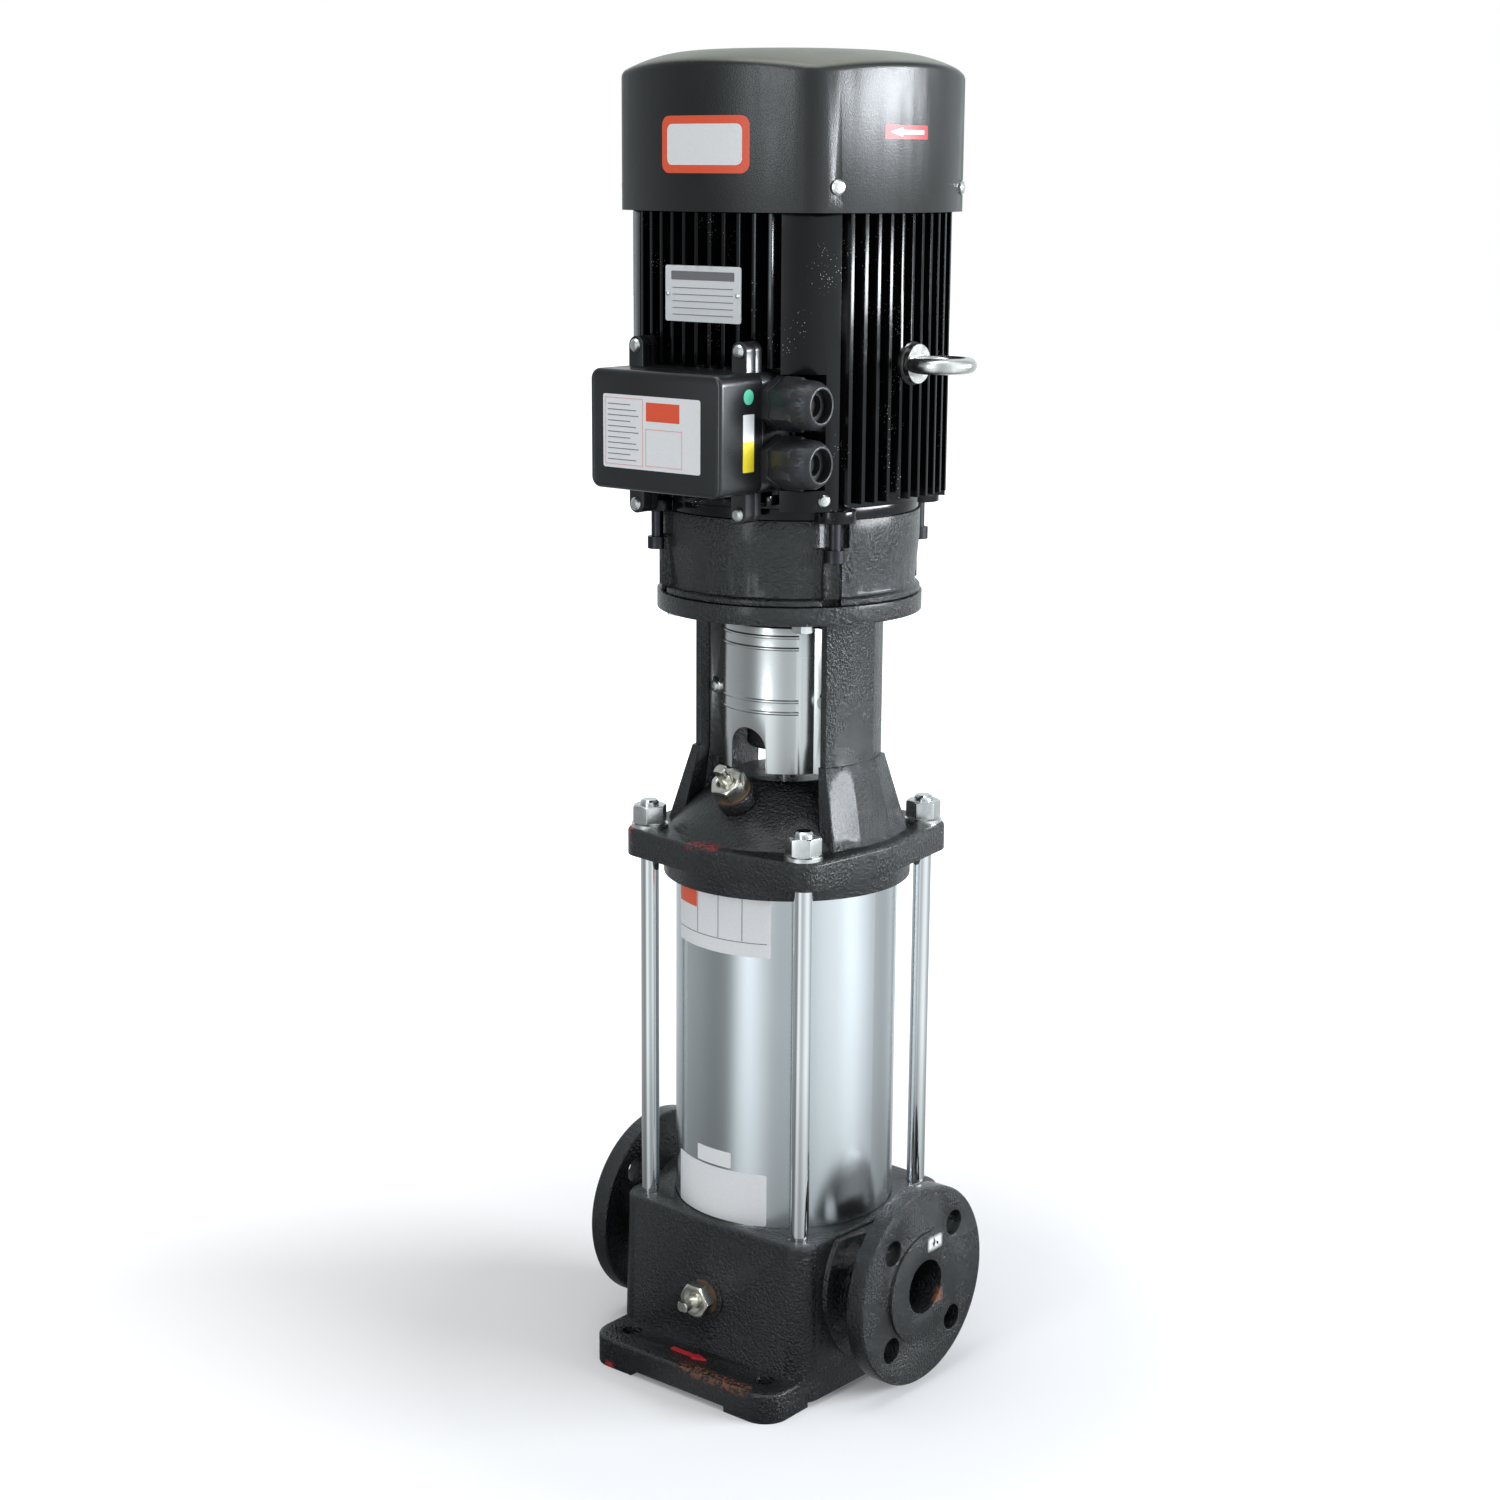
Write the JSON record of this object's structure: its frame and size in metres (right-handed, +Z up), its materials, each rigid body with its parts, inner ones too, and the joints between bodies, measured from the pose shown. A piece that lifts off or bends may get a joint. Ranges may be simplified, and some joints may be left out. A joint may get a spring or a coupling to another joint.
{
  "type": "vertical multistage pump",
  "caption": "Vertical in-line multistage centrifugal pump: flanged cast base, stainless sleeve with tie rods, lantern head with coupling guards and a finned motor.",
  "frame": {"origin": "middle of the foot's four bolt holes, on the plane that the foot stands on", "axes": "+Z up along the pump shaft, +X out of the outlet flange, -Y towards the terminal box, vent plug and drain plug"},
  "size_m": [0.269, 0.2555, 0.899],
  "materials": {
    "cast_black": "semi-gloss black enamel over rough casting",
    "motor_black": "gloss black enamel",
    "cover_black": "satin black textured enamel",
    "box_black": "smooth satin black enamel",
    "stainless": "satin brushed stainless steel",
    "bright_steel": "bright plated steel",
    "nickel_brass": "nickel-plated brass",
    "gland_black": "dark grey polyamide",
    "fan_plastic": "black polypropylene",
    "rubber": "black rubber",
    "fibre_gasket": "orange-brown fibre",
    "plate_silver": "satin aluminium sheet",
    "copper_winding": "varnished copper wire",
    "core_steel": "stacked sheet steel",
    "shaft_steel": "ground steel",
    "seal_face": "carbon and ceramic seal faces",
    "moulded_block": "moulded insulating block"
  },
  "bodies": {
    "pump": {"base_casting": "cast_black", "outer_sleeve": "stainless", "sleeve_o_rings": "rubber", "tie_rods": "bright_steel", "tie_rod_washers": "bright_steel", "tie_rod_nuts": "bright_steel", "pump_head": "cast_black", "plug_bodies": "nickel_brass", "plug_gaskets": "fibre_gasket", "seal_seat": "seal_face", "coupling_guard_front": "stainless", "coupling_guard_rear": "stainless", "guard_screws": "bright_steel", "motor_adapter": "cast_black", "lantern_bolts": "bright_steel", "motor_bolts": "bright_steel", "drive_end_shield": "motor_black", "fan_end_shield": "motor_black", "motor_frame": "motor_black", "stator_core": "core_steel", "stator_windings": "copper_winding", "bearing_outer_rings": "shaft_steel", "fan_cover": "cover_black", "fan_cover_screws": "bright_steel", "terminal_box_base": "box_black", "terminal_box_lid": "box_black", "terminal_lid_screws": "bright_steel", "terminal_block": "moulded_block", "cable_gland_bodies": "gland_black", "cable_gland_nuts": "gland_black", "cable_gland_seals": "rubber", "eyebolt": "bright_steel", "nameplate": "plate_silver", "earth_screw": "bright_steel", "suction_guide": "stainless", "bottom_bush": "seal_face", "discharge_guide": "stainless", "chamber_1": "stainless", "chamber_2": "stainless", "chamber_3": "stainless", "chamber_4": "stainless", "chamber_5": "stainless", "chamber_6": "stainless"},
    "rotor": {"pump_shaft": "shaft_steel", "impeller_1": "stainless", "impeller_2": "stainless", "impeller_3": "stainless", "impeller_4": "stainless", "impeller_5": "stainless", "impeller_6": "stainless", "impeller_spacers": "stainless", "seal_rotating_head": "seal_face", "coupling_halves": "cast_black", "coupling_screws": "bright_steel", "motor_shaft": "shaft_steel", "rotor_core": "core_steel", "cooling_fan": "fan_plastic", "bearing_inner_rings": "shaft_steel"},
    "vent_screw": {"vent_stem": "nickel_brass"},
    "drain_screw": {"drain_stem": "nickel_brass"}
  },
  "joints": [
    {"name": "rotor_spin", "type": "hinge", "parent": "pump", "child": "rotor", "pos_m": [0, 0, 0.485], "axis": [0, 0, 1], "continuous": true},
    {"name": "vent_turn", "type": "hinge", "parent": "pump", "child": "vent_screw", "pos_m": [0, -0.0586, 0.416], "axis": [0, -0.6157, 0.788], "range_deg": [0, 360]},
    {"name": "drain_turn", "type": "hinge", "parent": "pump", "child": "drain_screw", "pos_m": [0, -0.088, 0.062], "axis": [0, -1, 0], "range_deg": [0, 360]}
  ]
}
